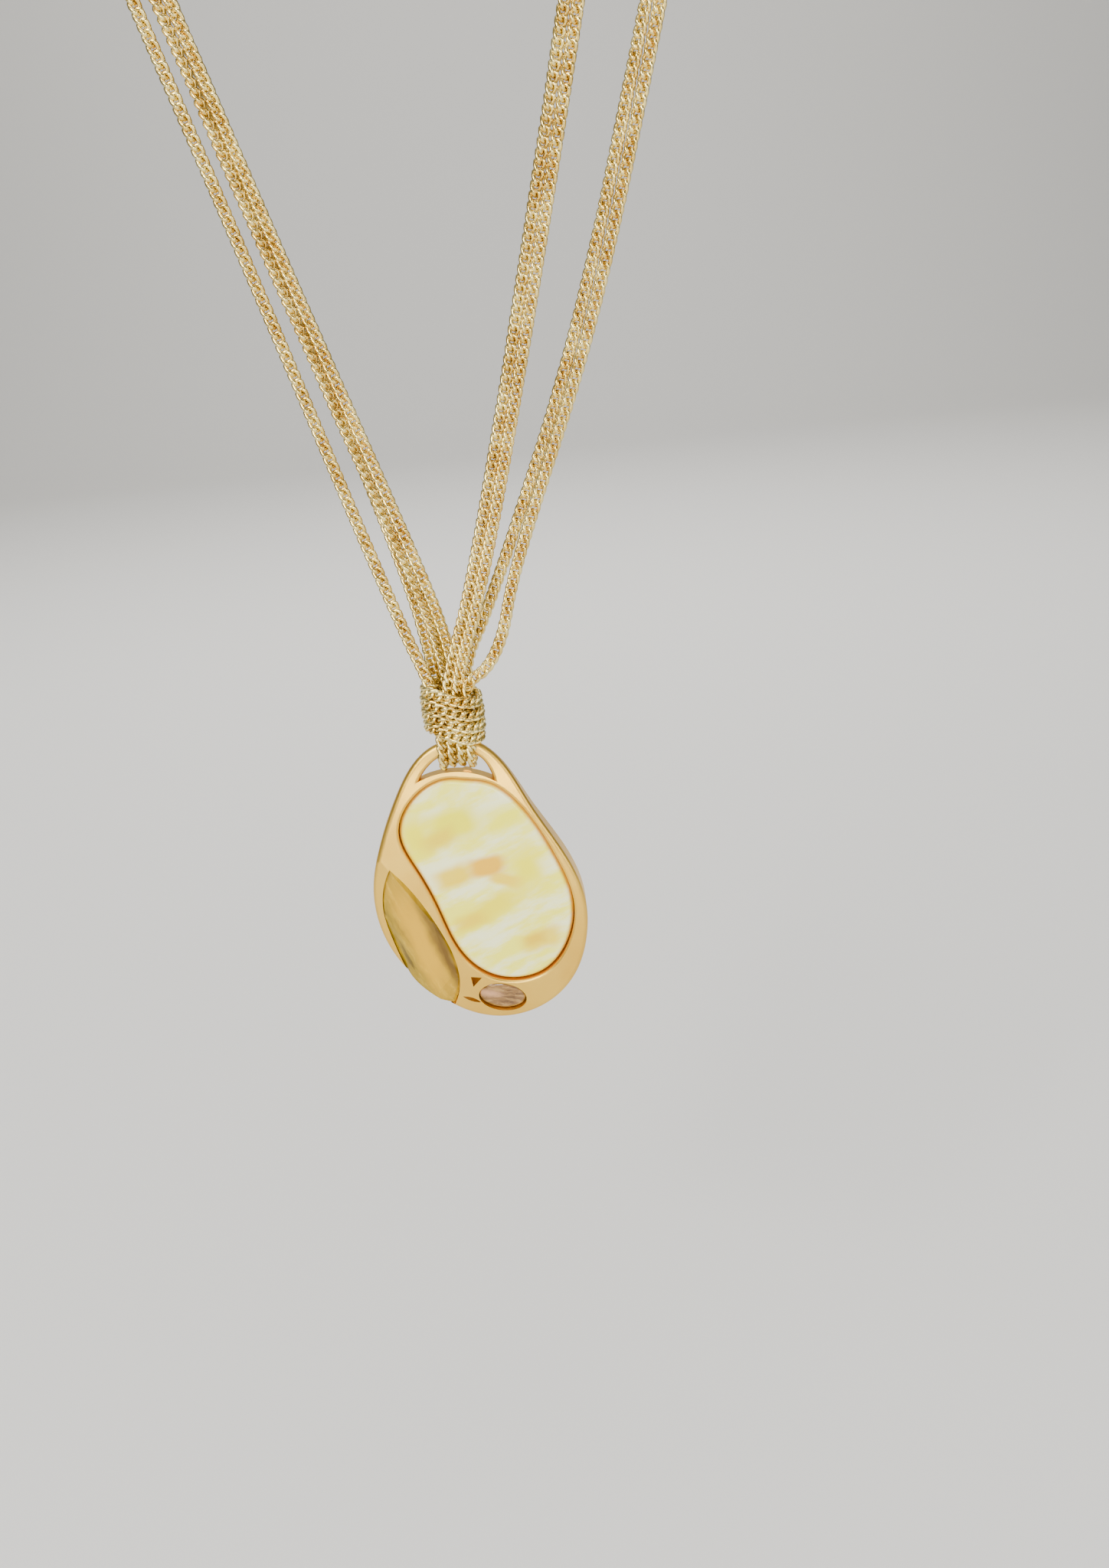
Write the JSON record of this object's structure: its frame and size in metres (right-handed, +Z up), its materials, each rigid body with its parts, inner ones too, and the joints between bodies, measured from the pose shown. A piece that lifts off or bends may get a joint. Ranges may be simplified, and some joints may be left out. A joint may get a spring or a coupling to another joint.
{
  "type": "pendant necklace",
  "caption": "Necklace of fine curb chains folded through an inlaid teardrop pendant and bound above it, with a lobster clasp and an extender chain at the back",
  "frame": {"origin": "middle of the neck loop, where the wearer's neck carries the necklace", "axes": "+Z up, +X to the wearer's left, the pendant hangs in front at -Y"},
  "size_m": [0.1112, 0.1155, 0.227],
  "materials": {
    "chain": "bright gold-plated curb links",
    "fastening": "polished gold plate",
    "spring": "drawn spring wire",
    "frame": "satin warm rose-gold plate, paler on its rims",
    "pearl": "polished mother-of-pearl inlay, cream and yellow",
    "amber": "faceted amber glass",
    "smoky_pearl": "polished smoky pearl cabochon"
  },
  "bodies": {
    "root": {"chain_single": "chain", "chain_inner_left": "chain", "chain_inner_right": "chain", "chain_outer": "chain", "binding_winding": "chain", "left_end_cap": "fastening", "right_end_cap": "fastening", "left_jump_ring": "fastening", "right_jump_ring": "fastening", "clasp_body": "fastening", "clasp_pin": "fastening", "clasp_spring": "spring"},
    "pendant": {"pendant_frame": "frame", "main_stone": "pearl", "marquise_stone": "amber", "oval_stone": "smoky_pearl"},
    "lever": {"clasp_lever": "fastening"},
    "extender_ring": {"extender_hook_ring": "fastening"},
    "link_1": {"extender_link_1": "fastening"},
    "link_2": {"extender_link_2": "fastening"},
    "link_3": {"extender_link_3": "fastening"},
    "link_4": {"extender_link_4": "fastening"},
    "link_5": {"extender_link_5": "fastening"},
    "link_6": {"extender_link_6": "fastening"},
    "link_7": {"extender_link_7": "fastening"},
    "link_8": {"extender_link_8": "fastening"},
    "drop": {"end_drop": "fastening"}
  },
  "joints": [
    {"name": "pendant_swing", "type": "hinge", "parent": "root", "child": "pendant", "pos_m": [-0.00045, -0.058, -0.1699], "axis": [1, 0, 0], "range_deg": [-60, 60]},
    {"name": "clasp_lever_turn", "type": "hinge", "parent": "root", "child": "lever", "pos_m": [-0.00376, 0.0488, 0.01], "axis": [0, 0, 1], "range_deg": [0, 22], "stiffness_Nm_per_rad": 0.0002, "springref_deg": -8.59},
    {"name": "extender_ring_swing", "type": "hinge", "parent": "root", "child": "extender_ring", "pos_m": [0.00526, 0.05, 0.01], "axis": [1, 0, 0], "range_deg": [-20, 20]},
    {"name": "extender_link_1_swing", "type": "hinge", "parent": "extender_ring", "child": "link_1", "pos_m": [0.00526, 0.05, 0.00745], "axis": [1, 0, 0], "range_deg": [-40, 40]},
    {"name": "extender_link_2_swing", "type": "hinge", "parent": "link_1", "child": "link_2", "pos_m": [0.00526, 0.05, 0.00281], "axis": [0, 1, 0], "range_deg": [-40, 40]},
    {"name": "extender_link_3_swing", "type": "hinge", "parent": "link_2", "child": "link_3", "pos_m": [0.00526, 0.05, -0.00183], "axis": [1, 0, 0], "range_deg": [-40, 40]},
    {"name": "extender_link_4_swing", "type": "hinge", "parent": "link_3", "child": "link_4", "pos_m": [0.00526, 0.05, -0.00647], "axis": [0, 1, 0], "range_deg": [-40, 40]},
    {"name": "extender_link_5_swing", "type": "hinge", "parent": "link_4", "child": "link_5", "pos_m": [0.00526, 0.05, -0.01111], "axis": [1, 0, 0], "range_deg": [-40, 40]},
    {"name": "extender_link_6_swing", "type": "hinge", "parent": "link_5", "child": "link_6", "pos_m": [0.00526, 0.05, -0.01575], "axis": [0, 1, 0], "range_deg": [-40, 40]},
    {"name": "extender_link_7_swing", "type": "hinge", "parent": "link_6", "child": "link_7", "pos_m": [0.00526, 0.05, -0.02039], "axis": [1, 0, 0], "range_deg": [-40, 40]},
    {"name": "extender_link_8_swing", "type": "hinge", "parent": "link_7", "child": "link_8", "pos_m": [0.00526, 0.05, -0.02503], "axis": [0, 1, 0], "range_deg": [-40, 40]},
    {"name": "end_drop_swing", "type": "hinge", "parent": "link_8", "child": "drop", "pos_m": [0.00526, 0.05, -0.02967], "axis": [1, 0, 0], "range_deg": [-40, 40]}
  ]
}
